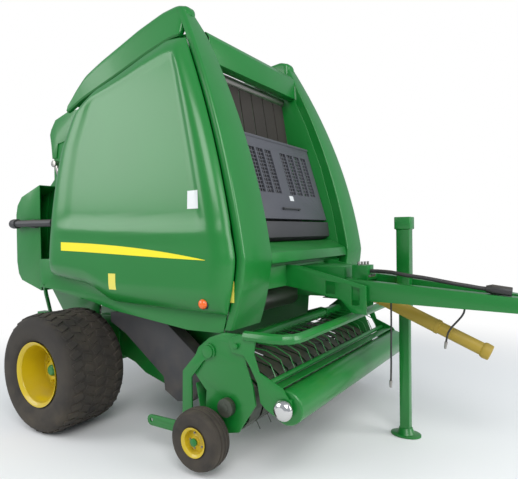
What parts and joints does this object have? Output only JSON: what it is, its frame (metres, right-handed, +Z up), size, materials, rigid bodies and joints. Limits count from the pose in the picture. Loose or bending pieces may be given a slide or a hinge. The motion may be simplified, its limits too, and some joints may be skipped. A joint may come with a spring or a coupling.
{
  "type": "round baler",
  "caption": "Towed round baler with lifting tailgate, gull-wing side doors, wide tined pick-up with windguard, drawbar, jack and covered drive shaft.",
  "frame": {"origin": "on the ground, under the middle of the machine's box", "axes": "+X towards the hitch, +Y to the machine's left, +Z up"},
  "size_m": [4.18, 2.5, 3.0129],
  "materials": {
    "green": "gloss paint",
    "yellow": "gloss paint",
    "black_plastic": "matte moulded",
    "grey_plastic": "matte moulded",
    "tyre": "dusty rubber",
    "belt": "worn rubber",
    "steel": "worn steel",
    "ochre_plastic": "faded plastic",
    "hose": "smooth rubber"
  },
  "bodies": {
    "baler": {"axle": "green", "chamber_wall_right": "green", "chamber_wall_left": "green", "side_frame_right": "green", "side_frame_left": "green", "front_column_right": "green", "front_column_left": "green", "side_hump_right": "green", "side_hump_left": "green", "chain_cover_right": "black_plastic", "chain_cover_left": "black_plastic", "cross_panel": "green", "front_crossmember": "green", "front_belts": "belt", "starter_roller": "steel", "net_tray": "black_plastic", "gate_hinge_shaft": "green", "drawbar": "green", "hitch_tongue": "steel", "gearbox": "green", "jack_tube": "green", "hose_bundle": "hose", "hose_boot": "hose", "lift_cable": "hose", "lift_cable_clip": "steel", "guard_cable": "hose", "guard_cable_clip": "steel"},
    "tailgate": {"gate_side_right": "green", "gate_side_left": "green", "rear_lamp_right": "black_plastic", "rear_lamp_left": "black_plastic", "gate_shield": "green", "gate_hood": "green", "gate_belts": "belt", "gate_lower_roller": "steel"},
    "door_right": {"side_door_right": "green"},
    "door_left": {"side_door_left": "green"},
    "net_door": {"net_cover": "grey_plastic"},
    "pickup": {"pickup_frame": "green", "stripper_bands": "green", "gauge_arm_right": "green", "gauge_arm_left": "green"},
    "reel": {"tine_reel": "steel"},
    "crop_guard": {"windguard": "green", "windguard_wires": "green"},
    "guard_roller": {"windguard_roller": "green"},
    "wheel_right": {"tyre_right": "tyre", "rim_right": "yellow"},
    "wheel_left": {"tyre_left": "tyre", "rim_left": "yellow"},
    "gauge_wheel_right": {"gauge_tyre_right": "tyre", "gauge_rim_right": "yellow"},
    "gauge_wheel_left": {"gauge_tyre_left": "tyre", "gauge_rim_left": "yellow"},
    "barrel_right": {"cylinder_barrel_right": "green"},
    "barrel_left": {"cylinder_barrel_left": "green"},
    "ram_right": {"cylinder_rod_right": "steel"},
    "ram_left": {"cylinder_rod_left": "steel"},
    "shaft": {"drive_shaft": "ochre_plastic"},
    "jack": {"jack_leg": "green"}
  },
  "joints": [
    {"name": "tailgate_hinge", "type": "hinge", "parent": "baler", "child": "tailgate", "pos_m": [-1.04, 0, 2.33], "axis": [0, 1, 0], "range_deg": [0, 60]},
    {"name": "side_door_hinge_left", "type": "hinge", "parent": "baler", "child": "door_left", "pos_m": [-0.66, 0.84986, 2.57852], "axis": [0.9512, -0.0481, 0.3048], "range_deg": [0, 65]},
    {"name": "side_door_hinge_right", "type": "hinge", "parent": "baler", "child": "door_right", "pos_m": [-0.66, -0.84986, 2.57852], "axis": [-0.9512, -0.0481, -0.3048], "range_deg": [0, 65]},
    {"name": "net_cover_hinge", "type": "hinge", "parent": "baler", "child": "net_door", "pos_m": [0.102, 0, 2.15], "axis": [0, -1, 0], "range_deg": [0, 70]},
    {"name": "pickup_lift", "type": "hinge", "parent": "baler", "child": "pickup", "pos_m": [-0.06, 0, 0.62], "axis": [0, -1, 0], "range_deg": [-4, 4]},
    {"name": "reel_spin", "type": "hinge", "parent": "pickup", "child": "reel", "pos_m": [0.37, 0, 0.405], "axis": [0, 1, 0], "continuous": true},
    {"name": "windguard_hinge", "type": "hinge", "parent": "pickup", "child": "crop_guard", "pos_m": [0.443, 0, 0.775], "axis": [0, -1, 0], "range_deg": [0, 6]},
    {"name": "guard_roller_spin", "type": "hinge", "parent": "crop_guard", "child": "guard_roller", "pos_m": [0.76, 0, 0.46], "axis": [0, 1, 0], "continuous": true},
    {"name": "wheel_spin_right", "type": "hinge", "parent": "baler", "child": "wheel_right", "pos_m": [-1.16, -1.005, 0.433], "axis": [0, 1, 0], "continuous": true},
    {"name": "gauge_wheel_spin_right", "type": "hinge", "parent": "pickup", "child": "gauge_wheel_right", "pos_m": [0.225, -1.062, 0.212], "axis": [0, 1, 0], "continuous": true},
    {"name": "wheel_spin_left", "type": "hinge", "parent": "baler", "child": "wheel_left", "pos_m": [-1.16, 1.005, 0.433], "axis": [0, 1, 0], "continuous": true},
    {"name": "gauge_wheel_spin_left", "type": "hinge", "parent": "pickup", "child": "gauge_wheel_left", "pos_m": [0.225, 1.062, 0.212], "axis": [0, 1, 0], "continuous": true},
    {"name": "cylinder_pivot_right", "type": "hinge", "parent": "baler", "child": "barrel_right", "pos_m": [-1.13, -0.694, 0.98], "axis": [0, 1, 0], "range_deg": [0, 12.5]},
    {"name": "cylinder_stroke_right", "type": "slide", "parent": "barrel_right", "child": "ram_right", "axis": [-0.4439, 0, 0.8961], "range_m": [0, 0.625]},
    {"name": "cylinder_pivot_left", "type": "hinge", "parent": "baler", "child": "barrel_left", "pos_m": [-1.13, 0.694, 0.98], "axis": [0, 1, 0], "range_deg": [0, 12.5]},
    {"name": "cylinder_stroke_left", "type": "slide", "parent": "barrel_left", "child": "ram_left", "axis": [-0.4439, 0, 0.8961], "range_m": [0, 0.625]},
    {"name": "drive_shaft_joint", "type": "hinge", "parent": "baler", "child": "shaft", "pos_m": [0.825, 0, 1.035], "axis": [0, -1, 0], "range_deg": [0, 20]},
    {"name": "jack_leg_slide", "type": "slide", "parent": "baler", "child": "jack", "axis": [0, 0, 1], "range_m": [0, 0.35]}
  ],
  "couplings": [
    {"joint": "cylinder_pivot_right", "follows": "tailgate_hinge", "ratio": 0.19203},
    {"joint": "cylinder_stroke_right", "follows": "tailgate_hinge", "m_per_rad": 0.58542},
    {"joint": "cylinder_pivot_left", "follows": "tailgate_hinge", "ratio": 0.19203},
    {"joint": "cylinder_stroke_left", "follows": "tailgate_hinge", "m_per_rad": 0.58542}
  ]
}
